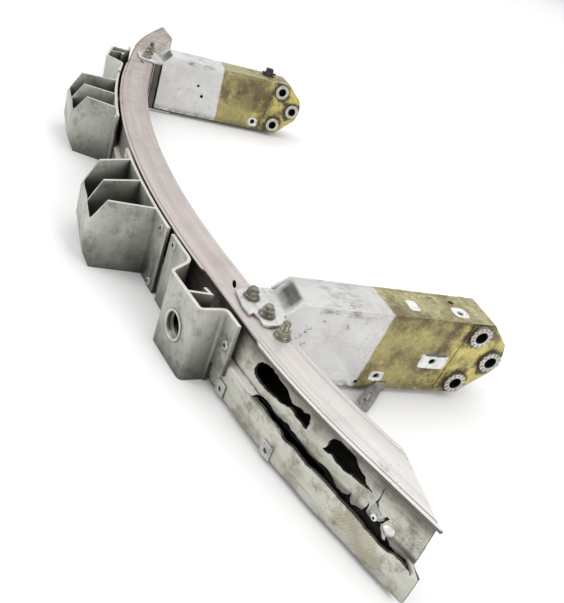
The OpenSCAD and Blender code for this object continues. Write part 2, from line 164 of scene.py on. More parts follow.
class Looks(Tree):
    """A material in the making: noise, masks and layers of colour."""

    def __init__(self, name, metallic=0.0, specular=0.5, coat=0.0):
        self.mat = bpy.data.materials.new(name)
        self.mat.use_nodes = True
        super().__init__(self.mat.node_tree)
        self.skin = self.add("BsdfPrincipled")
        self.skin.inputs["Metallic"].default_value = metallic
        self.skin.inputs["Specular IOR Level"].default_value = specular
        if coat:
            self.skin.inputs["Coat Weight"].default_value = coat
            self.skin.inputs["Coat Roughness"].default_value = 0.35
        self.add("OutputMaterial", {0: self.skin.outputs[0]})
        self.place = self.add("TexCoord").outputs["Object"]
        self.bumps = None

    def own(self, name):
        return self.add("Attribute", attribute_name=name).outputs["Vector"]

    def scaled(self, vec, size):
        return self.out("Mapping", {"Vector": vec, "Scale": size})

    def noise(self, scale, detail=4.0, rough=0.55, vec=None, warp=0.0):
        n = self.add("TexNoise", {"Vector": vec or self.place, "Scale": scale, "Detail": detail,
                                            "Roughness": rough, "Distortion": warp})
        return n.outputs["Fac"]

    def grain(self, vec, size, detail, rough):
        """Noise with its own scale along each axis."""
        return self.noise(1.0, detail, rough, self.scaled(vec, size))

    def cells(self, scale, vec=None):
        return self.add("TexVoronoi", {"Vector": vec or self.place, "Scale": scale}).outputs["Distance"]

    def span(self, value, low, high, to_low=0.0, to_high=1.0):
        """value taken from the range low to high into another one, and held inside it."""
        return self.out("MapRange", {"Value": value, "From Min": low, "From Max": high,
                                               "To Min": to_low, "To Max": to_high})

    def mix(self, fac, a, b):
        n = self.add("Mix", data_type="RGBA")
        self.put(n.inputs[0], fac)
        for socket, v in ((n.inputs[6], a), (n.inputs[7], b)):
            self.put(socket, (*v, 1.0) if isinstance(v, tuple) and len(v) == 3 else v)
        return n.outputs[2]

    def lay(self, under, over, *masks):
        """The colour over on top of under, as strong as the product of the masks."""
        return self.mix(self.times(*masks), under, over)

    def facing(self):
        return self.axes(self.add("NewGeometry").outputs["Normal"])

    def joints(self, col, dark, reach=0.01, low=0.35, high=0.8, most=0.85):
        """The colour col with dark laid into the corners by ambient occlusion: painted shade, with some
        grime.
        """
        return self.mix(self.span(self.nook(reach), low, high, 0.0, most), col, dark)

    def bump(self, height, strength, distance):
        n = self.add("Bump", {"Height": height, "Strength": strength, "Distance": distance})
        if self.bumps:
            self.tree.links.new(self.bumps, n.inputs["Normal"])
        self.bumps = n.outputs[0]

    def patch(self, x, y, corners, soft):
        """1 inside the convex outline corners (millimetres, anticlockwise) over x and y, 0 outside."""
        total = None
        for (ax, ay), (bx, by) in zip(corners, corners[1:] + corners[:1]):
            n = math.dist((ax, ay), (bx, by))
            kx, ky = -(by - ay) / n, (bx - ax) / n
            d = self.plus(self.times(x, kx), self.calc("MULTIPLY_ADD", y, ky, -(kx * ax + ky * ay) * MM))
            total = d if total is None else self.calc("MINIMUM", total, d)
        return self.span(total, -soft * MM, soft * MM)

    def spot(self, centre, half, soft=0.15, ragged=0.0, square=3.0):
        """1 inside an oval box round centre (row millimetres), 0 outside, with a ragged rim."""
        parts = []
        for value, c, h in zip(self.axes(), centre, half):
            away = self.calc("ABSOLUTE", self.calc("DIVIDE", self.minus(value, c * MM), h * MM))
            parts.append(self.calc("POWER", away, square))
        total = self.plus(*parts)
        if ragged:
            total = self.plus(total, self.times(self.minus(self.noise(260, 3), 0.5), ragged))
        return self.span(total, 1.0 + soft, 1.0 - soft)

    def nook(self, reach, samples=4):
        """0 in the open, 1 deep in a corner or joint."""
        ao = self.add("AmbientOcclusion", {"Distance": reach}, samples=samples)
        return self.minus(1.0, ao.outputs["AO"])

    def done(self, colour, rough):
        self.put(self.skin.inputs["Base Color"], colour)
        self.put(self.skin.inputs["Roughness"], rough)
        if self.bumps:
            self.tree.links.new(self.bumps, self.skin.inputs["Normal"])
        return self.mat


# ---- finishes
STEP_Z = 0.0405                 # height of the step in the beam's front
CHEQUER = [(566, 21), (604, 8), (624, 13), (609, 38), (588, 37.5)]


def beam_alloy():
    """Extruded mill-finish alloy: fine drawing lines along the beam, stains and dark flecks."""
    m = Looks("beam_alloy", metallic=0.45)
    p = m.own("lay")
    s, u, z = m.axes(p)
    lines = m.grain(p, (14, 1500, 1500), 5, 0.7)
    broad = m.grain(p, (5, 90, 90), 4, 0.6)
    cloud = m.noise(16, 5, 0.6)
    blot = m.noise(38, 6, 0.72)
    fleck = m.span(m.cells(300, p), 0.17, 0.1)
    fleck = m.times(fleck, m.span(m.noise(26, 3), 0.5, 0.6))
    up = m.span(m.facing()[2], 0.3, 0.8)
    front = m.span(u, -0.015, -0.017)
    near = m.span(s, 0.3, 0.56)
    far = m.span(s, -0.05, -0.5)
    col = m.mix(m.span(broad, 0.3, 0.7), (0.4, 0.345, 0.325), (0.55, 0.49, 0.465))
    col = m.lay(col, m.mix(m.span(broad, 0.3, 0.7), (0.56, 0.545, 0.525), (0.7, 0.69, 0.67)), near, 0.85)
    col = m.lay(col, (0.28, 0.235, 0.2), m.span(cloud, 0.5, 0.75), m.span(near, 0, 1, 0.5, 0.2))
    col = m.lay(col, (0.22, 0.155, 0.105), far, m.span(blot, 0.4, 0.62, 0, 0.85))
    col = m.lay(col, (0.12, 0.1, 0.085), m.span(m.noise(11, 6, 0.75), 0.6, 0.7), 0.45)
    # the front panels: greener, stained, darkest under the lip (a painted shadow) and along the step, with
    # painted near-black shade and some dirt over the front away from the crumpled near end
    face = m.mix(m.span(broad, 0.3, 0.75), (0.42, 0.42, 0.35), (0.62, 0.62, 0.55))
    face = m.lay(face, (0.17, 0.14, 0.09), m.span(blot, 0.49, 0.63), 0.8)
    grit = m.times(m.span(m.cells(430, p), 0.24, 0.14), m.span(m.noise(34, 4, 0.7), 0.49, 0.57))
    face = m.lay(face, (0.025, 0.02, 0.015), grit, 0.9)
    # painted shadow: a dark brown band just under the lip
    lip_shadow = m.span(m.plus(z, m.span(blot, 0.3, 0.7, -0.004, 0.004)), 0.057, 0.0745)
    step = m.minus(1, m.span(m.off(z, STEP_Z), 0.0012, 0.0045))
    face = m.lay(face, (0.05, 0.034, 0.02), lip_shadow, 0.93)
    face = m.lay(face, (0.04, 0.03, 0.02), step, m.span(cloud, 0.35, 0.6, 0.5, 0.95))
    face = m.lay(face, (0.22, 0.19, 0.14), m.span(z, 0.02, 0.006), m.span(blot, 0.4, 0.6, 0.1, 0.5))
    # painted shade with some dirt: from s 0.26 m towards the middle and far end the front goes near black,
    # behind the brackets
    face = m.mix(m.span(s, 0.4, 0.26), face, (0.06, 0.055, 0.048))
    col = m.lay(col, face, front, m.minus(1, up))
    col = m.lay(col, (0.8, 0.78, 0.75), m.span(lines, 0.4, 0.7), 0.25)
    thin = m.span(m.grain(p, (3, 900, 900), 2, 0.5), 0.64, 0.68)
    col = m.lay(col, (0.12, 0.1, 0.09), thin, 0.35)
    col = m.lay(col, (0.03, 0.027, 0.024), fleck, 0.9)
    # chequered patch pressed into the lower panel near the tip
    mesh = m.patch(s, z, CHEQUER, 1.5)
    mesh = m.times(mesh, m.span(u, -0.0225, -0.0245))
    knots = m.times(m.calc("SINE", m.times(s, 3900)), m.calc("SINE", m.times(z, 3900)))
    col = m.lay(col, (0.62, 0.58, 0.44), mesh, 0.55)
    col = m.lay(col, (0.13, 0.115, 0.08), mesh, 0.9, m.span(knots, 0.05, 0.4))
    # painted shade with some grime: corners darkened by ambient occlusion
    col = m.joints(col, (0.035, 0.03, 0.025), 0.012)
    rough = m.plus(m.span(lines, 0.3, 0.7, 0.34, 0.48), m.span(cloud, 0.4, 0.8, 0, 0.18))
    m.bump(lines, 0.16, 0.0004)
    m.bump(m.noise(120, 4), 0.14, 0.0008)
    m.bump(m.noise(28, 3), 0.2, 0.002)
    return m.done(col, rough)


# painted shade: a near-black finish for the beam's inside faces, its inner webs and the rivet hollows
def inner_shade():
    m = Looks("beam_inside", metallic=0.1, specular=0.2)
    n = m.noise(60, 4)
    m.bump(n, 0.3, 0.001)
    return m.done(m.mix(m.span(n, 0.35, 0.7), (0.008, 0.008, 0.007), (0.03, 0.028, 0.025)),
                  m.span(n, 0.3, 0.7, 0.65, 0.85))


def bracket_alloy():
    """Thick extruded alloy, greener and darker, with pale sawn top edges and painted shade deep in the cells.
    """
    m = Looks("bracket_alloy", metallic=0.45)
    p = m.place
    z = m.axes()[2]
    grain = m.grain(p, (600, 600, 16), 5, 0.7)
    cloud = m.noise(20, 5, 0.62)
    blot = m.noise(46, 6, 0.74)
    cut = m.span(m.facing()[2], 0.8, 0.95)
    low = m.span(z, 0.05, 0)
    col = m.mix(m.span(cloud, 0.3, 0.7), (0.27, 0.275, 0.24), (0.5, 0.5, 0.45))
    col = m.lay(col, (0.55, 0.55, 0.5), m.span(grain, 0.45, 0.7), 0.3)
    col = m.lay(col, (0.09, 0.085, 0.066), m.span(blot, 0.52, 0.68), 0.62)
    grit = m.times(m.span(m.cells(380), 0.2, 0.12), m.span(m.noise(30, 4, 0.7), 0.55, 0.62))
    col = m.lay(col, (0.03, 0.027, 0.022), grit, 0.85)
    col = m.lay(col, (0.1, 0.09, 0.072), low, m.span(blot, 0.4, 0.65, 0.1, 0.7))
    sawn = m.mix(m.span(m.grain(p, (90, 1400, 90), 4, 0.6), 0.3, 0.7), (0.5, 0.475, 0.41),
                 (0.72, 0.69, 0.61))
    col = m.mix(cut, col, sawn)
    # painted shade deep in the cells and joints, by ambient occlusion over a wide reach; the sawn tops are
    # mostly spared
    deep = m.span(m.nook(0.075, 8), 0.22, 0.72, 0, 0.96)
    col = m.lay(col, (0.045, 0.042, 0.036), deep, m.minus(1, m.times(cut, 0.8)))
    m.bump(grain, 0.14, 0.0004)
    m.bump(m.noise(160, 4), 0.18, 0.0006)
    m.bump(cloud, 0.2, 0.003)
    return m.done(col, m.span(cloud, 0.3, 0.75, 0.36, 0.56))


RAIL_FACES = 0.343, 0.393       # a rail's inner and outer face, from the centre
CREASE_Z = 0.0965               # a rail's upper crease
RAIL_X = 0.368                  # a rail's middle
BACK_SLOPE = -0.25              # how far the rail's back leans, for each unit up
BORES = ((172.5, 85.7), (202.5, 54.2), (172.5, 22.7))     # sleeve middles in row millimetres (y, z)


def from_bores(m, y, z):
    """Distance to the nearest sleeve middle, seen from the side of a rail."""
    near = None
    for cy, cz in BORES:
        d = m.calc("SQRT", m.plus(m.calc("POWER", m.minus(y, cy * MM), 2),
                                  m.calc("POWER", m.minus(z, cz * MM), 2)))
        near = d if near is None else m.calc("MINIMUM", near, d)
    return near


def rail_paint():
    """Off-white paint on the front half, weathered olive-yellow behind, grime and bare spots."""
    m = Looks("rail_paint", metallic=0.0, specular=0.4, coat=0.08)
    x, y, z = m.axes()
    cloud = m.noise(20, 6, 0.65)
    fine = m.noise(150, 5, 0.7)
    blot = m.noise(52, 6, 0.74)
    wobble = m.times(m.minus(m.noise(90, 5), 0.5), 0.005)
    # the line between the two paints leans differently on each face
    across = m.span(m.calc("ABSOLUTE", x), *RAIL_FACES)
    lean = m.times(m.minus(0.1, z), m.span(across, 0, 1, 0.06, -0.1))
    line = m.plus(m.span(across, 0, 1, 0.0555, 0.0605), lean)
    back = m.span(m.plus(m.minus(y, line), wobble), -0.0012, 0.0012)
    top = m.span(m.facing()[2], 0.6, 0.9)
    white = m.mix(m.span(cloud, 0.35, 0.7), (0.6, 0.595, 0.58), (0.7, 0.7, 0.69))
    # painted shade: the white is a little greyer on faces turned up than on the sides
    white = m.lay(white, (0.56, 0.56, 0.55), top, 0.8)
    streak = m.grain(m.place, (60, 12, 70), 5, 0.7)
    white = m.mix(m.span(streak, 0.55, 0.75, 0, 0.3), white, (0.36, 0.34, 0.31))
    white = m.lay(white, (0.13, 0.105, 0.08), m.span(m.noise(85, 6, 0.8), 0.59, 0.65),
                  m.span(cloud, 0.42, 0.58))
    dust = m.span(m.noise(9, 5, 0.7), 0.5, 0.66)
    white = m.lay(white, (0.36, 0.32, 0.26), dust, m.span(fine, 0.35, 0.65, 0.1, 0.55))
    # rubbed brown streak along the upper crease
    crease = m.minus(1, m.span(m.off(z, CREASE_Z), 0.0016, 0.0055))
    along_y = m.times(m.span(y, -0.022, -0.008), m.span(y, 0.044, 0.022))
    crease = m.times(crease, along_y, m.span(m.grain(m.place, (90, 45, 200), 5, 0.75), 0.46, 0.58))
    white = m.lay(white, (0.085, 0.075, 0.06), crease, 0.85)
    yellow = m.mix(m.span(blot, 0.3, 0.65), (0.4, 0.345, 0.12), (0.26, 0.225, 0.085))
    yellow = m.lay(yellow, m.mix(m.span(fine, 0.4, 0.6), (0.27, 0.245, 0.115), (0.42, 0.395, 0.23)), top,
                   0.75)
    yellow = m.mix(m.span(fine, 0.5, 0.7, 0, 0.35), yellow, (0.62, 0.55, 0.27))
    tail = m.minus(m.span(m.plus(y, m.times(z, BACK_SLOPE)), 0.118, 0.124), top, clamp=True)
    yellow = m.lay(yellow, m.mix(m.span(blot, 0.4, 0.65), (0.6, 0.52, 0.15), (0.42, 0.35, 0.11)), tail, 0.8)
    stain = m.span(m.plus(blot, m.span(m.noise(17, 4), 0.4, 0.6, -0.12, 0.14)), 0.46, 0.72)
    yellow = m.lay(yellow, (0.11, 0.078, 0.035), stain, 0.8)
    pad_line = m.span(x, 0.01, -0.01, 0.1175, 0.1375)
    # painted shade along the fold where the side wall steps in to the pad, left off the top
    fold_shade = m.minus(1, m.span(m.off(m.plus(y, m.times(z, BACK_SLOPE)), pad_line), 0.002, 0.013))
    yellow = m.lay(yellow, (0.075, 0.05, 0.028), m.minus(fold_shade, top, clamp=True),
                   m.span(blot, 0.35, 0.6, 0.3, 0.95))
    black = m.span(m.noise(66, 6, 0.78, warp=0.5), 0.61, 0.67)
    specks = m.times(m.span(m.cells(420), 0.24, 0.13), m.span(m.noise(27, 5, 0.7), 0.48, 0.58))
    black = m.most(black, specks)
    yellow = m.lay(yellow, (0.02, 0.017, 0.013), black, 0.9)
    halo = m.span(m.plus(from_bores(m, y, z), m.span(blot, 0.35, 0.65, 0.005, -0.005)), 0.0205, 0.015)
    # brown stain and painted shade on the far rail's inner face, beside the pad's front edge
    pad_edge_stain_and_shade = m.spot((-343, 122, 70), (9, 38, 27), 0.7, 1.2)
    yellow = m.lay(yellow, (0.085, 0.055, 0.025), pad_edge_stain_and_shade, m.span(blot, 0.3, 0.6, 0.35, 1), 0.85)
    yellow = m.lay(yellow, (0.04, 0.028, 0.014), m.minus(halo, top, clamp=True), 0.9)
    col = m.mix(back, white, yellow)
    # grime along the rims and the foot
    rim = m.most(m.times(m.span(z, 0.094, 0.1), m.times(back, m.minus(1, top))), m.span(z, 0.017, 0.008))
    col = m.lay(col, (0.06, 0.045, 0.028), rim, m.span(fine, 0.4, 0.55), 0.65)
    # painted shade with some grime: corners darkened by ambient occlusion
    col = m.joints(col, (0.035, 0.03, 0.022), most=0.8)
    bare = m.most(m.spot((394, 132.8, 47), (7, 17, 9.5), 0.2, 1.2, 7),
                  m.spot((394, 72.8, 22.5), (7, 8.5, 6.5), 0.2, 0.9),
                  m.spot((371.5, 91.8, 101), (9, 6, 9), 0.2, 1, 6),
                  m.spot((375.4, 149.2, 101), (9, 9.5, 9), 0.1, 0.3),
                  m.spot((-342, 134, 19), (8, 9, 8), 0.2, 0.7))
    clean = m.mix(m.span(fine, 0.45, 0.65), (0.78, 0.78, 0.77), (0.5, 0.5, 0.49))
    clean = m.mix(m.spot((394, 134, 56.5), (7, 15, 3.4), 0.3, 1.6), clean, (0.1, 0.115, 0.14))
    col = m.mix(bare, col, clean)
    scratch = m.span(m.grain(m.place, (500, 24, 420), 3, 0.6), 0.66, 0.7)
    col = m.lay(col, (0.1, 0.09, 0.08), scratch, m.span(cloud, 0.5, 0.6, 0, 0.8))
    m.bump(m.noise(260, 4), 0.1, 0.0005)
    m.bump(m.times(m.calc("MAXIMUM", bare, black), -1.0), 0.25, 0.0004)
    m.bump(cloud, 0.25, 0.0025)
    rough = m.plus(m.span(fine, 0.3, 0.7, 0.36, 0.5), m.times(back, stain, 0.2))
    return m.done(col, rough)


def flange_paint():
    """Thin grey-white paint; the sloping ramp behind the nuts is painted dark as shade."""
    m = Looks("flange_paint", metallic=0.25)
    x, y, z = m.axes()
    cloud = m.noise(40, 5, 0.65)
    fine = m.noise(180, 5, 0.7)
    col = m.mix(m.span(cloud, 0.35, 0.7), (0.5, 0.5, 0.475), (0.72, 0.72, 0.7))
    col = m.mix(m.span(fine, 0.52, 0.68, 0, 0.6), col, (0.2, 0.19, 0.165))
    edge_x = m.minus(m.calc("ABSOLUTE", x), RAIL_X)
    inner = m.span(m.calc("ABSOLUTE", edge_x), 0.0205, 0.0125)
    # painted shade: a dark mask over the sloping ramp behind the nuts
    ramp = m.times(m.span(y, -0.0535, -0.0455), m.span(y, -0.035, -0.0395), inner)
    ramp_shade_grain = m.grain(m.place, (30, 300, 30), 4, 0.6)
    col = m.lay(col, m.mix(m.span(ramp_shade_grain, 0.3, 0.7), (0.05, 0.05, 0.045), (0.16, 0.16, 0.145)), ramp,
                m.span(z, 0.081, 0.084))
    # painted shade with some grime: corners darkened by ambient occlusion
    col = m.joints(col, (0.03, 0.027, 0.022))
    m.bump(fine, 0.15, 0.0006)
    m.bump(cloud, 0.25, 0.002)
    return m.done(col, m.span(cloud, 0.3, 0.7, 0.3, 0.46))


def worn_metal(name, dark, light, stain, rough=(0.28, 0.46), metallic=0.85, scale=1.0):
    m = Looks(name, metallic=metallic)
    cloud = m.noise(60 * scale, 5, 0.65)
    fine = m.noise(420 * scale, 4, 0.7)
    col = m.mix(m.span(cloud, 0.35, 0.7), dark, light)
    col = m.lay(col, stain, m.span(fine, 0.5, 0.68), 0.5)
    # painted shade with some grime: corners darkened by ambient occlusion
    col = m.joints(col, tuple(v * 0.25 for v in stain), 0.006, 0.4, 0.85)
    m.bump(fine, 0.2, 0.0004)
    m.bump(cloud, 0.15, 0.001)
    return m.done(col, m.span(cloud, 0.3, 0.7, *rough))


def sleeve_steel():
    """The same worn steel, with painted shade in the bores and on the flanks of the ring teeth."""
    m = Looks("sleeve_steel", metallic=0.5)
    cloud = m.noise(60, 5, 0.65)
    fine = m.noise(420, 4, 0.7)
    col = m.mix(m.span(cloud, 0.35, 0.7), (0.42, 0.41, 0.38), (0.68, 0.67, 0.62))
    col = m.lay(col, (0.14, 0.1, 0.055), m.span(fine, 0.5, 0.68), 0.5)
    out = from_bores(m, *m.axes()[1:])
    # painted shade: faces turned away from the sleeve's axis are darkened
    flank_shade = m.span(m.calc("ABSOLUTE", m.facing()[0]), 0.75, 0.35, 0, 0.6)
    col = m.mix(flank_shade, col, (0.09, 0.075, 0.05))
    # painted shade: near black inside the bore
    col = m.mix(m.span(out, 0.0078, 0.0068), col, (0.015, 0.013, 0.01))
    col = m.mix(m.span(out, 0.0122, 0.0128), col, (0.16, 0.14, 0.1))
    m.bump(fine, 0.2, 0.0004)
    return m.done(col, m.span(cloud, 0.3, 0.7, 0.3, 0.5))


def clip_plastic():
    m = Looks("clip_plastic", specular=0.4)
    n = m.noise(500, 4)
    m.bump(n, 0.2, 0.0003)
    return m.done(m.mix(m.span(m.noise(90), 0.4, 0.7), (0.012, 0.012, 0.013), (0.05, 0.048, 0.045)),
                  m.span(n, 0.3, 0.7, 0.42, 0.6))


ALLOY = beam_alloy()
INSIDE_SHADE = inner_shade()
BRACKET = bracket_alloy()
PAINT = rail_paint()
FLANGE = flange_paint()
STEEL = sleeve_steel()
ZINC = worn_metal("zinc_steel", (0.13, 0.125, 0.095), (0.38, 0.375, 0.3), (0.04, 0.033, 0.02), metallic=0.6)
RIVET = worn_metal("rivet_steel", (0.34, 0.34, 0.32), (0.66, 0.66, 0.62), (0.08, 0.075, 0.065),
                   metallic=0.6)
BRIGHT = worn_metal("pressed_alloy", (0.66, 0.66, 0.65), (0.86, 0.86, 0.85), (0.42, 0.41, 0.39),
                    (0.3, 0.42), 0.3)
# painted shade: a dark finish for the cut rims of the beam's sheet, as the slots' shaded insides
EDGE_SHADE = worn_metal("torn_edge", (0.035, 0.03, 0.025), (0.13, 0.12, 0.1), (0.02, 0.018, 0.015), (0.5, 0.7),
                  0.2)
# grime and painted shade: a near-black plate in the gap between each rail and the beam
GRIMY_SHADED = worn_metal("grimy_plate", (0.05, 0.046, 0.04), (0.15, 0.14, 0.125), (0.03, 0.027, 0.022),
                   (0.5, 0.7), 0.2)
TAB = worn_metal("tab_steel", (0.15, 0.15, 0.15), (0.32, 0.32, 0.32), (0.12, 0.11, 0.1), (0.4, 0.6), 0.6)
STRAP = worn_metal("strap_alloy", (0.3, 0.3, 0.29), (0.6, 0.6, 0.58), (0.07, 0.065, 0.06), (0.35, 0.55),
                   0.7)
COLLAR = worn_metal("collar_alloy", (0.42, 0.42, 0.38), (0.66, 0.65, 0.6), (0.13, 0.12, 0.1), (0.35, 0.5),
                    0.4)
CLIP = clip_plastic()


# ---- mesh helpers
@contextmanager
def edit(mesh):
    """The mesh opened for editing, and written back at the end."""
    bm = bmesh.new()
    bm.from_mesh(mesh)
    yield bm
    bm.to_mesh(mesh)
    bm.free()


def linked(name, data):
    o = bpy.data.objects.new(name, data)
    bpy.context.scene.collection.objects.link(o)
    return o


def new_object(name, mesh, mats):
    for m in mats if isinstance(mats, list) else [mats]:
        mesh.materials.append(m)
    return linked(name, mesh)


def closed(name, verts, faces):
    """A mesh of the faces with its doubled points joined and its normals turned outwards."""
    mesh = bpy.data.meshes.new(name)
    mesh.from_pydata(verts, [], faces)
    with edit(mesh) as bm:
        bmesh.ops.remove_doubles(bm, verts=bm.verts, dist=1e-6)
        bmesh.ops.recalc_face_normals(bm, faces=bm.faces)
    return mesh


def smooth(mesh, angle=35):
    mesh.shade_smooth()
    mesh.set_sharp_from_angle(angle=math.radians(angle))


def plain(o, name):
    """Turns what the modifiers make of o into a plain mesh of that name."""
    bpy.context.view_layer.update()
    deps = bpy.context.evaluated_depsgraph_get()
    mesh = bpy.data.meshes.new_from_object(o.evaluated_get(deps))
    mesh.name = name + "_mesh"
    out = linked(name, mesh)
    old = o.data
    bpy.data.objects.remove(o)
    bpy.data.meshes.remove(old)
    out.name = name
    return out


def hand_in(o, slot, *nodes):
    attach(o, "root")
    if nodes:
        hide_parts(*nodes)


# ---- geometry trees
class Shape(Tree):
    """A geometry tree with named inputs."""

    def __init__(self, name):
        super().__init__(bpy.data.node_groups.new(name, "GeometryNodeTree"))
        self.tree.interface.new_socket("Geometry", in_out="OUTPUT", socket_type="NodeSocketGeometry")
        self.socket_ids = {}
        self.source = self.nodes.new("NodeGroupInput")
        self.sink = self.nodes.new("NodeGroupOutput")

    def ask(self, name, kind="Float", default=None):
        s = self.tree.interface.new_socket(name, in_out="INPUT", socket_type="NodeSocket" + kind)
        if default is not None:
            s.default_value = default
        self.socket_ids[name] = s.identifier
        return self.source.outputs[name]

    def end(self, geo, mat):
        real = self.out("GeometryNodeRealizeInstances", {0: geo})
        done = self.out("GeometryNodeSetMaterial", {0: real, "Material": mat}) if mat else real
        self.tree.links.new(done, self.sink.inputs[0])

    def use(self, o, **values):
        mod = o.modifiers.new(self.tree.name, "NODES")
        mod.node_group = self.tree
        for k, v in values.items():
            mod[self.socket_ids[k.replace("_", " ")]] = v
        return mod


def bend(g, geo, named):
    """Moves straight work (s, u, z) on to the bent middle line. named holds the path's sizes."""
    r1, a1, seat, r2, a2, apex, back = named
    times, plus, minus = g.times, g.plus, g.minus

    def sin(v):
        return g.calc("SINE", v)

    def cos(v):
        return g.calc("COSINE", v)
    pos = g.out("GeometryNodeInputPosition")
    s, u, z = g.axes(pos)
    run = g.calc("ABSOLUTE", s)
    s1 = times(r1, a1)
    s2 = plus(s1, seat)
    arc2 = g.calc("MINIMUM", g.most(minus(run, s2), 0.0), times(r2, a2))
    t1 = g.calc("DIVIDE", g.calc("MINIMUM", run, s1), r1)
    t2 = plus(a1, g.calc("DIVIDE", arc2, r2))
    flat = g.calc("MINIMUM", g.most(minus(run, s1), 0.0), seat)
    tail = g.most(minus(run, plus(s2, times(r2, a2))), 0.0)
    a3 = plus(a1, a2)
    turn = plus(t1, g.calc("DIVIDE", arc2, r2))
    x = plus(times(r1, sin(t1)), times(flat, cos(a1)), times(r2, minus(sin(t2), sin(a1))),
             times(tail, cos(a3)), times(u, sin(turn), -1.0))
    y = plus(apex, back, times(r1, minus(1.0, cos(t1))), times(flat, sin(a1)),
             times(r2, minus(cos(a1), cos(t2))), times(tail, sin(a3)), times(u, cos(turn)))
    kept = g.out("GeometryNodeStoreNamedAttribute", {0: geo, "Name": "lay", "Value": pos},
                 data_type="FLOAT_VECTOR", domain="POINT")
    there = g.out("CombineXYZ", {0: times(g.calc("SIGN", s), x), 1: y, 2: z})
    return g.out("GeometryNodeSetPosition", {0: kept, "Position": there})


def path_inputs(g):
    return [g.ask(name, default=size) for name,
            size in (("Middle radius", MID_R * MM), ("Middle angle", MID_A), ("Seat length", SEAT_LEN * MM),
                     ("Bend radius", BEND_R * MM), ("Bend angle", BEND_A), ("Apex", APEX * MM),
                     ("Row shift", ROW_Y * MM))]


def bend_tree():
    g = Shape("bend_on_path")
    geo = g.ask("Geometry", "Geometry")
    g.end(bend(g, geo, path_inputs(g)), None)
    return g


BEND = bend_tree()


def bent(name, mesh, mat, angle=35):
    """A straight mesh laid on the beam's middle line, as a plain smooth object."""
    o = new_object(name + "_straight", mesh, mat)
    BEND.use(o)
    o = plain(o, name)
    smooth(o.data, angle)
    return o


# ---- the beam
# Offsets of the lower front, the upper front and the lip from the middle line.
F_LOW, F_UP, F_LIP = -25.0, -18.5, -21.0
WALL = 3.0
LIP_Z = 76.0              # the front's panels end below this height


def arc(cx, cy, r, a0, a1, n):
    turns = [math.radians(a0 + (a1 - a0) * k / n) for k in range(n + 1)]
    return [(cx + r * math.cos(a), cy + r * math.sin(a)) for a in turns]


def beam_profile():
    """Outer skin of the section, round from the foot of the front: (u, z above the beam's underside)."""
    p = [(F_LOW + 2.5, 0.0), (F_LOW + 0.7, 0.6), (F_LOW, 2.2)]
    p += [(F_LOW, z) for z in (6, 10, 14, 18, 22, 26, 29, 31.5)]
    p += [(F_LOW + 0.2, 33.6), (F_LOW + 1.2, 34.8), (F_UP - 2.2, 36.2), (F_UP - 0.5, 37.2), (F_UP, 38.6)]
    p += [(F_UP, z) for z in (42, 46, 50, 54, 58, 62, 66, 70, 73)]
    p += [(F_UP - 0.3, 74.0), (F_LIP - 0.2, 75.0), (F_LIP - 0.6, 76.2), (F_LIP - 0.2, 77.4),
          (F_LIP + 0.9, 77.9)]
    p += [(-18.6, 77.8), (-18.1, 77.2), (-17.4, 77.2), (-16.9, 77.9)]
    p += [(u, 78.0) for u in (-15, -11, -7, -3, 1, 5, 9, 13)] + [(15.0, 77.9), (15.7, 77.5), (16.4, 77.9)]
    p += arc(17.0, 74.0, 4.0, 85, 0, 6)
    p += [(21.0, z) for z in (70, 62, 54, 46, 38, 30, 22, 14, 7)] + arc(17.0, 4.0, 4.0, 0, -90, 5)
    p += [(u, 0.0) for u in (10, 3, -4, -11, -17)]
    return p


PROFILE = beam_profile()
RING = PROFILE + PROFILE[:1]
FRONT = range(2, 26)                  # the profile's points that climb the front
TOP_START = PROFILE.index((-15, 78.0))
GIRTH = [0.0]
for near, far in zip(PROFILE, RING[1:]):
    GIRTH.append(GIRTH[-1] + math.dist(near, far))


def on_profile(w):
    """Place (u, z above the beam's underside) at the length w round the section."""
    for i, (a, b) in enumerate(zip(PROFILE, RING[1:])):
        if w <= GIRTH[i + 1] + 1e-6:
            t = (w - GIRTH[i]) / (GIRTH[i + 1] - GIRTH[i])
            return a[0] + (b[0] - a[0]) * t, a[1] + (b[1] - a[1]) * t
    return PROFILE[0]


def front_w(z):
    """Length round the section at height z on the front."""
    for i in FRONT:
        a, b = PROFILE[i], PROFILE[i + 1]
        if a[1] <= z <= b[1]:
            return GIRTH[i] + (z - a[1]) / (b[1] - a[1]) * (GIRTH[i + 1] - GIRTH[i])
    return GIRTH[FRONT.stop]


def top_w(u):
    """Length round the section at the offset u on the top."""
    return GIRTH[TOP_START] + u - PROFILE[TOP_START][0]


def ragged(pts, rng, amount, step=2.2):
    """The outline pts with a torn edge: short runs, each a little off the line."""
    out = []
    for a, b in zip(pts, pts[1:] + pts[:1]):
        n = max(1, int(math.dist(a, b) / step))
        for k in range(n):
            out.append(tuple(p + (q - p) * (k / n) + rng.uniform(-amount, amount) for p, q in zip(a, b)))
    return out


def inside(p, poly):
    hit = False
    for a, b in zip(poly, poly[-1:] + poly[:-1]):
        if (a[1] > p[1]) != (b[1] > p[1]) and p[0] < (b[0] - a[0]) * (p[1] - a[1]) / (b[1] - a[1]) + a[0]:
            hit = not hit
    return hit


def stadium(s, z, length, height):
    r = height / 2
    right = arc(s + length / 2 - r, z, r, -90, 90, 7)
    return right + [(2 * s - x, 2 * z - y) for x, y in right]


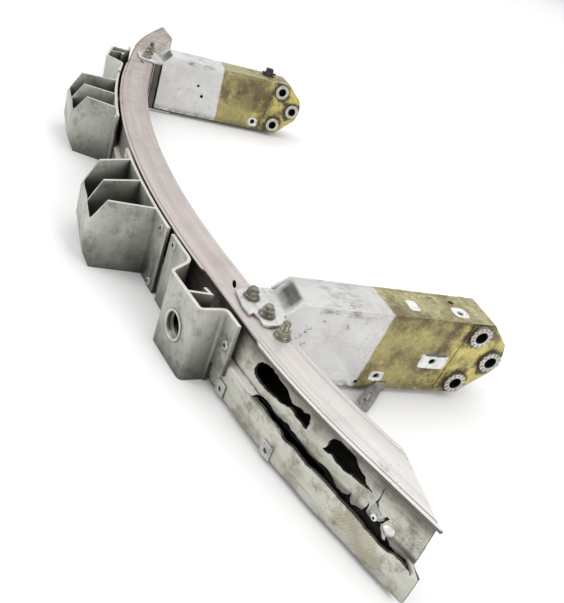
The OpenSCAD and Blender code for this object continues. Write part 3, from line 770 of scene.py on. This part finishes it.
# Outlines on the front, as (s, z above the beam's underside).
TORN_SLOT = [(443, 66), (450, 69), (458, 70.5), (464, 69), (473, 68), (481, 67), (486, 64), (490, 61),
             (495, 63), (500, 65), (505, 64), (509, 67), (512, 66), (513, 59), (514, 53), (510, 52),
             (505, 53), (500, 53), (493, 55), (489, 55), (486, 53), (479, 51), (470, 50), (460, 48),
             (451, 47), (443, 47), (439, 49), (437, 53), (438, 60)]
END_SLOT = [(534, 52), (537, 57), (536, 62), (540, 68), (546, 71), (556, 71), (563, 70), (566, 67),
            (571, 64), (577, 62), (581, 58), (589, 56.5), (589, 56), (580, 54.5), (573, 53), (566, 53),
            (558, 51), (549, 52), (544, 54), (540, 52)]
# The long tear under the step: its lower edge stays on the front plane, its upper edge is pushed in.
TEAR_LOW = [(450, 33.5), (454, 35.7), (457, 37), (466, 37.4), (477, 36.6), (486, 36.2), (495, 36.3),
            (500, 31.7), (507, 32.3), (513, 34.3), (522, 32.8), (530, 31.9), (540, 33.8), (549, 34.2),
            (560, 32), (566, 29.6), (579, 31.2), (587, 31.3), (596, 29.4), (604, 29.5), (610, 28.9),
            (618, 29), (623, 32), (628, 32.2), (633, 31.8), (637, 31.4)]
TEAR_UP = [(638, 32), (631, 33.4), (622, 33.8), (615, 33), (610, 34.6), (608.6, 37), (607.4, 40.5),
           (611, 47.5), (612, 49.4), (609, 49.6), (601, 37.6), (597, 36.4), (594, 36.8), (591.6, 38.3),
           (591.6, 43.5), (591, 48), (589.6, 41), (588, 36), (578, 33), (574, 35.6), (573, 41.5),
           (571.6, 36), (568.6, 34.6), (566, 33.4), (560, 33.6), (554, 37), (548, 39.6), (540, 39.4),
           (534, 37.4), (526, 36.4), (518, 37.8), (512, 38.8), (504, 39.7), (500, 39.3), (495, 41.4),
           (485, 38.8), (478, 38), (471, 40.1), (463, 41), (457, 39.4), (452, 36.4)]
# How low the pushed-in sheet hangs behind the tear.
HANG = [(540, 39.4), (556, 34), (566, 33), (578, 31), (588, 35.9), (597, 36), (603, 37), (606, 35.3),
        (609, 32.6), (616, 30.6), (622, 29.6), (630, 29.4), (636, 31.6), (641, 34), (660, 34)]
CRACK = [(596, 69), (596.4, 66), (597, 59.6), (597.1, 53), (599, 50.5), (598, 48.7), (596.5, 50),
         (594.5, 52), (595.7, 54), (596.1, 59.6), (595.3, 66)]


def along(line, s):
    """Height of the broken line at s."""
    if s <= line[0][0]:
        return line[0][1]
    for (a, za), (b, zb) in zip(line, line[1:]):
        if s <= b:
            return za + (zb - za) * (s - a) / (b - a)
    return line[-1][1]


FAR_SLOTS = (458, 558)                # middles of the two plain slots at the far end
SLOT_Z, SLOT_LEN, SLOT_H = 57, 52, 19
KEY_HOLE = [(-7.6, 0), (-6, 1.5), (0, 2), (6, 1.5), (7.6, 0), (6, -1.5), (0, -2), (-6, -1.5)]
KEY_S, KEY_U = 343.6, 1.9             # where a rail's oval hole is in the top
KEY_COS, KEY_SIN = 0.89, 0.45


def beam_holes(rng):
    """Every hole of the sheet as an outline in (s, length round the section)."""
    torn = [ragged(TORN_SLOT, rng, 0.55), ragged(END_SLOT, rng, 0.5), ragged(TEAR_LOW + TEAR_UP, rng, 0.45),
            CRACK]
    torn += [stadium(-s, SLOT_Z, SLOT_LEN, SLOT_H) for s in FAR_SLOTS]
    holes = [[(s, front_w(z)) for s, z in poly] for poly in torn]
    for side in (1, -1):
        holes.append([(side * (KEY_S + KEY_COS * x + KEY_SIN * y), top_w(KEY_U) + KEY_COS * y - KEY_SIN * x)
                      for x, y in KEY_HOLE])
    return holes


CRASH_S = 400             # the front is crumpled from here to the near tip
# Knocks in the front's lower and upper panels: depth (negative is forward), s, z and reach along both.
LOW_KNOCKS = ((-0.7, 520, 33, 60, 7), (1.6, 566, 30, 14, 9), (-0.9, 606, 26, 16, 8))
UP_KNOCKS = ((1.0, 500, 41, 40, 5), (0.8, 575, 40, 30, 6), (-1.6, 552, 74, 9, 4))
SHARP_KNOCKS = ((-2.6, 611, 42, 7, 5), (1.4, 511, 60, 9, 8))


def crumple(s, u, z):
    """How far the crash pushed the front panels: negative is forward."""
    if s < CRASH_S or z > LIP_Z:
        return 0.0

    def knocks(table):
        return [depth * math.exp(-1.6 * (((s - cs) / rs) ** 2 + ((z - cz) / rz) ** 2)) for depth, cs, cz,
                rs, rz in table]
    fade = min(1.0, (s - CRASH_S) / 60)
    du = fade * 1.1 * noise.noise(Vector((s * 0.035, z * 0.06, 3.1)))
    if u < -20 and z < 36:
        return du + fade * sum(knocks(LOW_KNOCKS))
    return du + fade * sum(knocks(UP_KNOCKS)) + sum(knocks(SHARP_KNOCKS))


def ease(t):
    t = min(max(t, 0.0), 1.0)
    return t * t * (3 - 2 * t)


TEAR_S, TEAR_END = 448, 638           # the tear opens and runs out here


def torn_apart(s, u, z):
    """Parts the front at the tear: below it the sheet stays in front, above it hangs behind."""
    f = ease((s - TEAR_S) / 8)
    if f <= 0 or z > 50 or z < 22:
        return u, z
    low, high = along(TEAR_LOW, s), along(TEAR_UP[::-1], s)
    if z < (low + high) / 2 + 3.0 * ease((s - TEAR_END) / 12):
        return u + (F_LOW - u) * f, z
    drop = max(0.0, low + 1.6 - along(HANG, s)) * f
    return u + (F_UP - 0.4 - u) * f, z - drop * (1 - ease((z - high) / 9))


def end_slide(s, u):
    """The slanted end cut: what is further back ends sooner."""
    t = min(max((abs(s) - 560) / (TIP_S - 560), 0), 1)
    return -math.copysign(1, s) * END_CUT * (u + HALF_D) / (2 * HALF_D) * t


COLUMNS = 214             # strips of the sheet from tip to tip
LOOSE = 700               # extra points on the crumpled front
FRONT_U = -17             # what is further forward than this belongs to the front
TRIM_S = (314, 431)       # where the lip is trimmed back behind an outer bracket


def sheet(rng):
    """The beam's skin rolled out flat: points and faces in (s, length round the section)."""
    holes = beam_holes(rng)

    def nearby(p):
        return [h for h in holes if abs(p[0] - h[0][0]) < 220]

    def clear(p, room):
        return not any(min(math.dist(p, q) for q in h) < room or inside(p, h) for h in nearby(p))
    pts, edges = [], []
    for h in holes:
        start = len(pts)
        pts += h
        edges += [(start + k, start + (k + 1) % len(h)) for k in range(len(h))]
    cols = [round(-TIP_S + 2 * TIP_S * k / COLUMNS, 4) for k in range(COLUMNS + 1)]
    pts += [(s, w) for w in GIRTH for s in cols if clear((s, w), 0.9)]
    for k in range(LOOSE):
        p = rng.uniform(432, TIP_S - 3), rng.uniform(front_w(20), front_w(73))
        if clear(p, 1.6):
            pts.append(p)
    out = geometry.delaunay_2d_cdt([Vector(p) for p in pts], edges, [], 0, 1e-5, False)
    flat, faces = out[0], out[2]
    kept = []
    for f in faces:
        c = sum((flat[i] for i in f), Vector((0, 0))) / len(f)
        if not any(inside(c, h) for h in nearby(c)):
            kept.append(f)
    return flat, kept


def folded(p):
    """Place (s, u, z) in metres of a point of the flat sheet, with the crash in it."""
    u, z = on_profile(min(p.y, GIRTH[-1] - 1e-7) if p.y < GIRTH[-1] - 1e-4 else 0.0)
    s = p.x
    if u < FRONT_U:
        u, z = torn_apart(s, u, z)
    du = crumple(s, u, z) if u < FRONT_U else 0.0
    if z > 73.5 and u < F_UP and TRIM_S[0] < abs(s) < TRIM_S[1]:
        u = F_UP - 0.15 * (F_UP - u) - 0.2
    return Vector(((s + end_slide(s, u)) * MM, (u + du) * MM, (z + FLOOR_GAP) * MM))


def beam_skin():
    flat, faces = sheet(random.Random(11))
    mesh = bpy.data.meshes.new("beam_skin")
    mesh.from_pydata([folded(p) for p in flat], [], faces)
    with edit(mesh) as bm:
        bmesh.ops.remove_doubles(bm, verts=bm.verts, dist=1e-6)
        bmesh.ops.delete(bm, geom=[v for v in bm.verts if not v.link_faces], context="VERTS")
        bmesh.ops.recalc_face_normals(bm, faces=bm.faces)
        top = max(bm.faces, key=lambda f: f.calc_center_median().z)
        if top.normal.z < 0:
            bmesh.ops.reverse_faces(bm, faces=bm.faces)
    o = new_object("beam_skin_straight", mesh, [ALLOY, INSIDE_SHADE, EDGE_SHADE])
    wall = o.modifiers.new("wall", "SOLIDIFY")
    wall.thickness = WALL * MM
    wall.offset = -1
    # the inside faces take the near-black painted-shade finish
    wall.material_offset = 1
    # the cut rims take the dark painted-shade finish
    wall.material_offset_rim = 2
    wall.use_even_offset = False
    BEND.use(o)
    o = plain(o, "beam_skin")
    smooth(o.data, 30)
    hand_in(o, "beam_alloy", "bumper_beam")


BAR_STEP = 8


def strip(name, s0, s1, u0, u1, z0, z1):
    """A closed bar inside the beam, bent with it; heights are from the beam's underside."""
    n = int((s1 - s0) / BAR_STEP)
    verts, faces = [], []
    for k in range(n + 1):
        s = s0 + (s1 - s0) * k / n
        for u, z in ((u0, z0), (u1, z0), (u1, z1), (u0, z1)):
            verts.append(Vector(((s + end_slide(s, u)) * MM, u * MM, (FLOOR_GAP + z) * MM)))
    for k in range(n):
        for j in range(4):
            a, b = 4 * k + j, 4 * k + (j + 1) % 4
            faces.append((a, b, b + 4, a + 4))
    faces += [(3, 2, 1, 0), tuple(4 * n + j for j in range(4))]
    return bent(name, closed(name, verts, faces), INSIDE_SHADE)


def straight_plate(name, mat, outline, u0, u1, bow):
    """A thin torn piece of sheet, drawn in (s, z), between two offsets, and bent with the beam."""
    mid = sum(p[0] for p in outline) / len(outline)
    verts = [Vector((s * MM, (u + bow * ((s - mid) / 8) ** 2) * MM, (z + FLOOR_GAP) * MM))
             for u in (u0, u1) for s, z in outline]
    n = len(outline)
    faces = [tuple(range(n)), tuple(range(2 * n - 1, n - 1, -1))]
    faces += [(k, (k + 1) % n, n + (k + 1) % n, n + k) for k in range(n)]
    o = new_object(name + "_straight", closed(name, verts, faces), mat)
    edge = o.modifiers.new("edge", "BEVEL")
    edge.width = 0.25 * MM
    edge.segments = 2
    BEND.use(o)
    o = plain(o, name)
    smooth(o.data)
    return o


TONGUE = [(591.6, 47), (593.5, 51), (595, 51.5), (597.5, 48.5), (601, 47), (605, 45), (606, 43.6),
          (603.5, 40), (600.5, 37.8), (597.5, 36.6), (594.3, 36.4), (591.4, 38.5)]
DOME_S, DOME_U, DOME_Z = 611.6, F_UP - 0.6, FLOOR_GAP + 40.6      # middle of the bulge


def pressed_dome():
    """The egg-shaped bulge beside the tear's cut."""
    mesh = bpy.data.meshes.new("pressed_dome")
    with edit(mesh) as bm:
        bmesh.ops.create_uvsphere(bm, u_segments=28, v_segments=16, radius=1.0)
        for v in bm.verts:
            x, y, z = v.co
            w = 1 + 0.16 * x - 0.1 * z
            v.co = Vector(((DOME_S + 6.2 * x * w + 0.9 * z) * MM, (DOME_U + 3.4 * y) * MM,
                           (DOME_Z + 5.4 * z * w) * MM))
    hand_in(bent("pressed_dome", mesh, BRIGHT), "beam_alloy")


# ---- pieces drawn from their CAD solids, with softened edges
def softened(node, name, mat, width, dents=None):
    """A copy of a CAD node with its facets joined, its edges rounded and its knocks put in."""
    src = frame["nodes"][node]
    mesh = src.data.copy()
    mesh.materials.clear()
    mesh.transform(src.matrix_world)
    with edit(mesh) as bm:
        bmesh.ops.remove_doubles(bm, verts=bm.verts, dist=2e-6)
        bmesh.ops.dissolve_limit(bm, angle_limit=math.radians(1.0), verts=bm.verts, edges=bm.edges)
    o = new_object(name + "_raw", mesh, mat)
    b = o.modifiers.new("edge", "BEVEL")
    b.width = width * MM
    b.segments = 2
    b.limit_method = "ANGLE"
    b.angle_limit = math.radians(28)
    b.use_clamp_overlap = True
    b.harden_normals = False
    o = plain(o, name)
    if dents:
        knock(o.data, dents)
    smooth(o.data, 40)
    return o


FINE = 7                  # the longest edge near a dent, in millimetres


def knock(mesh, dents):
    """Cuts big faces up and pushes the surface in round each dent (x, y, z, radius, depth vector)."""
    def near(e):
        mid = (e.verts[0].co + e.verts[1].co) / 2
        return any((row(*d[:3]) - mid).length < (d[3] * 1.3 + e.calc_length() / MM * 0.5) * MM for d in dents)
    with edit(mesh) as bm:
        bmesh.ops.triangulate(bm, faces=bm.faces)
        for _ in range(7):
            long = [e for e in bm.edges if e.calc_length() > FINE * MM and near(e)]
            if not long:
                break
            bmesh.ops.subdivide_edges(bm, edges=long, cuts=1)
            bmesh.ops.triangulate(bm, faces=[f for f in bm.faces if len(f.verts) > 3])
        for v in bm.verts:
            for x, y, z, r, push in dents:
                d = (v.co - row(x, y, z)).length / (r * MM)
                if d < 1:
                    v.co += Vector(push) * MM * (1 - d * d) ** 2


# ---- repeated small parts
def marks(name, places):
    """A mesh of bare points, one for each part, with its turn and size kept as attributes."""
    mesh = bpy.data.meshes.new(name)
    mesh.from_pydata([p[0] for p in places], [], [])
    mesh.attributes.new("turn", "FLOAT_VECTOR", "POINT")
    mesh.attributes.new("size", "FLOAT", "POINT")
    for k, p in enumerate(places):
        mesh.attributes["turn"].data[k].vector = p[1]
        mesh.attributes["size"].data[k].value = p[2]
    return mesh


def cone(g, sides, r0, r1, z0, z1):
    """A cone frustum from z0 to z1, its sizes being numbers or tree values."""
    mesh = g.out("GeometryNodeMeshCone", {"Vertices": sides, "Radius Top": r1, "Radius Bottom": r0,
                                          "Depth": g.minus(z1, z0)})
    lift = g.out("CombineXYZ", {2: z0})
    return g.out("GeometryNodeTransform", {0: mesh, "Translation": lift})


def stack(g, sides, wide, high, rings):
    """Frustums on each other: radius below and above as shares of wide, start and end as shares of high."""
    return [cone(g, sides, g.times(wide, a), g.times(wide, b), g.times(high, c), g.times(high, d))
            for a, b, c, d in rings]


def kept_mark(g, name, kind):
    return g.out("GeometryNodeInputNamedAttribute", {"Name": name}, data_type=kind)


def on_marks(g, points, part, scale=None):
    """The part set on each marked point, turned as the mark says."""
    spin = g.out("FunctionNodeEulerToRotation", {0: kept_mark(g, "turn", "FLOAT_VECTOR")})
    return g.out("GeometryNodeInstanceOnPoints", {"Points": points, "Instance": part, "Rotation": spin,
                                                  "Scale": scale})


def join(g, *parts):
    n = g.add("GeometryNodeJoinGeometry")
    for p in parts:
        g.tree.links.new(p, n.inputs[0])
    return n.outputs[0]


def rivet_tree():
    """Ring-headed blind rivets: a flat flange, a domed ring and a near-black disc painted as the shaded
    hollow of the mandrel.
    """
    g = Shape("ring_rivets")
    geo = g.ask("Geometry", "Geometry")
    head = g.ask("Head radius", default=5.0 * MM)
    rise = g.ask("Head rise", default=1.8 * MM)
    metal = g.ask("Metal", "Material")
    hollow = g.ask("Hollow", "Material")
    body = join(g, *stack(g, 24, head, rise,
                          ((1.0, 0.98, -0.7, 0.28), (0.98, 0.84, 0.28, 0.72), (0.84, 0.52, 0.72, 0.94))))
    body = g.out("GeometryNodeSetMaterial", {0: body, "Material": metal})
    # painted shade: a near-black disc for the mandrel's hollow
    core = stack(g, 16, head, rise, ((0.42, 0.4, 0.5, 0.99),))[0]
    core = g.out("GeometryNodeSetMaterial", {0: core, "Material": hollow})
    g.end(on_marks(g, geo, join(g, body, core), kept_mark(g, "size", "FLOAT")), None)
    return g


RIVETS = rivet_tree()
PITCH, THREADS = 1.25, 11


def stud_tree():
    """Flange nuts on their studs: a wide washer, a collar, a chamfered hexagon and a threaded end."""
    g = Shape("flange_nuts")
    geo = g.ask("Geometry", "Geometry")
    washer = g.ask("Washer radius", default=8.5 * MM)
    hexagon = g.ask("Hexagon radius", default=6.7 * MM)
    high = g.ask("Nut height", default=7.4 * MM)
    bolt = g.ask("Stud radius", default=4.0 * MM)
    metal = g.ask("Metal", "Material")
    rings = ((0.97, 1.0, 0.0, 0.07), (1.0, 0.95, 0.07, 0.2), (0.82, 0.86, 0.2, 0.28),
             (0.86, 0.76, 0.28, 0.42))
    nut = stack(g, 36, washer, high, rings) + stack(g, 6, hexagon, high,
            ((1.0, 1.0, 0.38, 0.9), (1.0, 0.86, 0.9, 1.0)))
    nuts = on_marks(g, geo, join(g, *nut))
    # thread: a stack of narrow double cones with a rounded end, as tall as each mark's size says
    line = g.out("GeometryNodeMeshLine", {"Count": THREADS, "Offset": (0, 0, PITCH * MM)}, mode="OFFSET")
    tooth = join(g, *stack(g, 18, bolt, PITCH * MM, ((0.87, 1.0, 0.0, 0.5), (1.0, 0.87, 0.5, 1.0))))
    thread = g.out("GeometryNodeInstanceOnPoints", {"Points": line, "Instance": tooth})
    thread = g.out("GeometryNodeRealizeInstances", {0: thread})
    end = THREADS * PITCH
    tip = cone(g, 18, g.times(bolt, 0.87), g.times(bolt, 0.55), end * MM, (end + 0.85) * MM)
    tall = g.out("CombineXYZ", {0: 1.0, 1: 1.0, 2: kept_mark(g, "size", "FLOAT")})
    g.end(join(g, nuts, on_marks(g, geo, join(g, thread, tip), tall)), metal)
    return g


NUTS = stud_tree()


def weld(mesh):
    """Joins stacked rings into closed skins: two caps that lie on each other go, and their rims merge."""
    with edit(mesh) as bm:
        caps = [(f, f.calc_center_median(), f.calc_area()) for f in bm.faces if len(f.verts) > 4]
        inner = set()
        for k, (f, c, area) in enumerate(caps):
            for g, d, other in caps[k + 1:]:
                if (c - d).length < 0.02 * MM and abs(area - other) < 0.01 * area:
                    inner |= {f, g}
        bmesh.ops.delete(bm, geom=list(inner), context="FACES_ONLY")
        bmesh.ops.remove_doubles(bm, verts=bm.verts, dist=0.01 * MM)


def grown(name, tree, places, **values):
    """One object out of a tree's parts, one on each place (point, turn, size)."""
    o = new_object(name + "_marks", marks(name, places), [])
    tree.use(o, **values)
    o = plain(o, name)
    weld(o.data)
    smooth(o.data, 30)
    return o


def on_beam(s, u, z, size):
    """A place on the beam for a part whose axis points forward."""
    x, y = on_path(s, u)
    return row(x, y, z), (math.pi / 2, 0, path_angle(s)), size


def lathe(name, section, turn, mat):
    """A ring turned from its section (radius, height) in millimetres round the Z axis of turn."""
    verts, faces = [], []
    n = len(section)
    for k in range(ROUND):
        a = 2 * math.pi * k / ROUND
        verts += [turn @ Vector((r * MM * math.cos(a), r * MM * math.sin(a), h * MM)) for r, h in section]
        for j in range(n):
            i = (k + 1) % ROUND * n
            faces.append((k * n + j, k * n + (j + 1) % n, i + (j + 1) % n, i + j))
    mesh = closed(name, verts, faces)
    smooth(mesh, 30)
    return new_object(name, mesh, mat)


ROUND = 48                # sides of a turned ring
COLLAR_SECTION = [(13.1, -5.0), (15.4, -5.0), (15.5, 1.5), (15.9, 1.6), (16.0, 2.5), (15.5, 3.1),
                  (14.7, 3.3), (13.8, 3.1), (13.2, 2.4), (13.1, 1.2)]


def collar(tag):
    """The thick lip round the tow-eye hole of an outer bracket."""
    mount = next(m for m in frame["record"]["mounts"] if m["name"] == tag + "_bracket_hole")
    turn = Vector(mount["axis"]).to_track_quat("Z", "X").to_matrix().to_4x4()
    turn.translation = Vector(mount["pos_m"])
    return lathe(tag + "_hole_collar", COLLAR_SECTION, turn, COLLAR)


# ---- put the beam together
# CAD node without its side, material, slot and edge width of every piece that both sides have
SIDE_PARTS = (("rail_outer", PAINT, "rail_paint", 1.6), ("rail_inner", PAINT, "rail_paint", 1.6),
              ("rail_front_plate", GRIMY_SHADED, "flange_paint", 0.6),
              ("rail_sleeves", STEEL, "sleeve_steel", 0.35), ("top_flange", FLANGE, "flange_paint", 1.1),
              ("low_flange", FLANGE, "flange_paint", 0.8),
              ("centre_bracket", BRACKET, "bracket_alloy", 0.45),
              ("outer_bracket", BRACKET, "bracket_alloy", 0.45), ("nut_plates", RIVET, "rivet_steel", 0.3))
NUT_MARKS = ((364, 73.5, 3.4, 0.78), (391.5, 81.4, 3.4, 0.78), (418.7, 89.6, 0.2, 1.12))    # x, y, lift, stud
RIVET_MARKS = ((266.5, 77), (402, 56), (230, 75), (230, 8), (64, 75), (64, 8))              # s, z


def bracket_dents(side):
    return [(side * 205.4, -26.6, 54.3, 9, (-side * 1.6, 0, 0)),
            (side * 205.4, -23.4, 19, 8, (-side * 1.4, 0, 0)), (side * 150, -62, 50, 22, (0, 1.2, 0))]


def one_side(side, n):
    for part, mat, slot, width in SIDE_PARTS:
        dents = bracket_dents(side) if part == "centre_bracket" else None
        hand_in(softened(n + part, n + part + "_skin", mat, width, dents), slot, n + part)
    hand_in(collar(n[:-1]), "bracket_alloy")
    places = [(row(side * x, y, TOP + lift), (0, 0, 0.5 + k), stud) for k,
              (x, y, lift, stud) in enumerate(NUT_MARKS)]
    hand_in(grown(n + "flange_nuts", NUTS, places, Metal=ZINC), "zinc_steel", n + "nuts", n + "studs")
    places = [on_beam(side * s, F_LOW - 3.9, z, 1) for s, z in RIVET_MARKS]
    hand_in(grown(n + "rivet_heads", RIVETS, places, Metal=RIVET, Hollow=INSIDE_SHADE), "rivet_steel",
            n + "bracket_rivets")


beam_skin()
hand_in(strip("beam_web", -TIP_S, TIP_S, -15.0, 18.5, 32.0, 35.0), "beam_alloy")
hand_in(strip("torn_web", 545, TIP_S, -16.5, -15.0, 1.5, 33.0), "beam_alloy")
hand_in(straight_plate("torn_strap_skin", STRAP, TONGUE, F_UP - 0.9, F_UP + 0.6, 0.5), "strap_alloy",
        "torn_strap")
pressed_dome()
one_side(1, "left_")
one_side(-1, "right_")
hand_in(softened("slotted_tab", "slotted_tab_skin", TAB, 0.5), "tab_steel", "slotted_tab")
hand_in(softened("plastic_clip", "plastic_clip_skin", CLIP, 0.7), "clip_plastic", "plastic_clip")
strap_rivet = [on_beam(598.6, F_UP - 1.4, 43.8, 0.62)]
hand_in(grown("strap_rivet_head", RIVETS, strap_rivet, Metal=BRIGHT, Hollow=INSIDE_SHADE), "rivet_steel",
        "strap_rivet")


# ---- floor, light and camera
FLOOR_R = 30.0


def floor():
    mesh = bpy.data.meshes.new("studio_floor")
    r = FLOOR_R
    mesh.from_pydata([(-r, -r, 0), (r, -r, 0), (r, r, 0), (-r, r, 0)], [], [(0, 1, 2, 3)])
    m = Looks("floor_paper")
    m.done(m.mix(m.noise(3), (0.86, 0.86, 0.86), (0.9, 0.9, 0.9)), 0.9)
    new_object("studio_floor", mesh, m.mat)


floor()
world = bpy.data.worlds.new("studio")
bpy.context.scene.world = world
world.use_nodes = True
sky = world.node_tree.nodes["Background"]
sky.inputs["Color"].default_value = (1.0, 1.0, 1.0, 1.0)
sky.inputs["Strength"].default_value = 0.5


def lamp(name, place, target, size, power):
    data = bpy.data.lights.new(name, "AREA")
    data.shape = "DISK"
    data.size = size
    data.energy = power
    o = linked(name, data)
    o.location = place
    o.rotation_euler = (Vector(target) - Vector(place)).to_track_quat("-Z", "Y").to_euler()


lamp("roof_light", (-4.0, 4.0, 9.0), (-4.0, 4.0, 0), 24.0, 1450)
lamp("side_light", (2.7, 0.9, 1.5), (0.2, 0, 0.05), 1.2, 30)
lamp("front_light", (-0.6, -2.6, 1.1), (0.1, 0, 0.05), 1.6, 30)

cam_data = bpy.data.cameras.new("camera")
cam = linked("camera", cam_data)
right = Vector((0.2634, 0.9179, 0.2968)).normalized()
ahead = Vector((-0.7473, 0.3887, -0.539)).normalized()
up = right.cross(ahead).normalized()
right = ahead.cross(up)
stand = Vector((0.8693, -0.3181, 0.4113))
cam.matrix_world = Matrix((right, up, -ahead)).transposed().to_4x4()
cam.location = stand
cam_data.lens = 40.89
cam_data.sensor_width = 36
cam_data.shift_x = 0.031
cam_data.shift_y = 0.0489
cam_data.clip_start = 0.02
bpy.context.scene.camera = cam
bpy.context.scene.view_settings.view_transform = "Standard"
